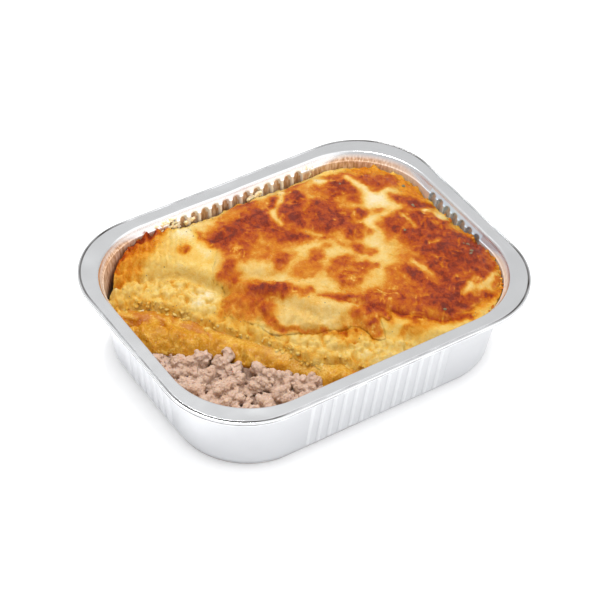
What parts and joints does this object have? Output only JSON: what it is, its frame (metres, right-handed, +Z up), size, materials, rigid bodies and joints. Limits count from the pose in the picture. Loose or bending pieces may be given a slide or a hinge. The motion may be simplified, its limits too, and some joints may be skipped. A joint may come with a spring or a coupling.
{
  "type": "foil tray meal",
  "caption": "Ready meal in a fluted foil tray: minced meat, vegetable puree and mashed potato in layers under melted, browned cheese, with one corner scooped away.",
  "frame": {"origin": "on the table, under the middle of the tray's outline", "axes": "+X along the tray's length, +Y across it, +Z up; the scooped corner is at -X, -Y"},
  "size_m": [0.1618, 0.1254, 0.038],
  "materials": {
    "foil": "bright rolled foil, faint brushed grain",
    "mince": "cooked minced meat, matt with moist highlights",
    "puree": "orange vegetable puree, glossy and grainy",
    "mash": "mashed potato, matt and grainy",
    "cheese": "melted cheese, glossy, cream to dark red-brown where baked"
  },
  "bodies": {
    "root": {"foil_tray": "foil", "minced_meat": "mince", "vegetable_puree": "puree", "potato_mash": "mash", "melted_cheese": "cheese"}
  },
  "joints": []
}
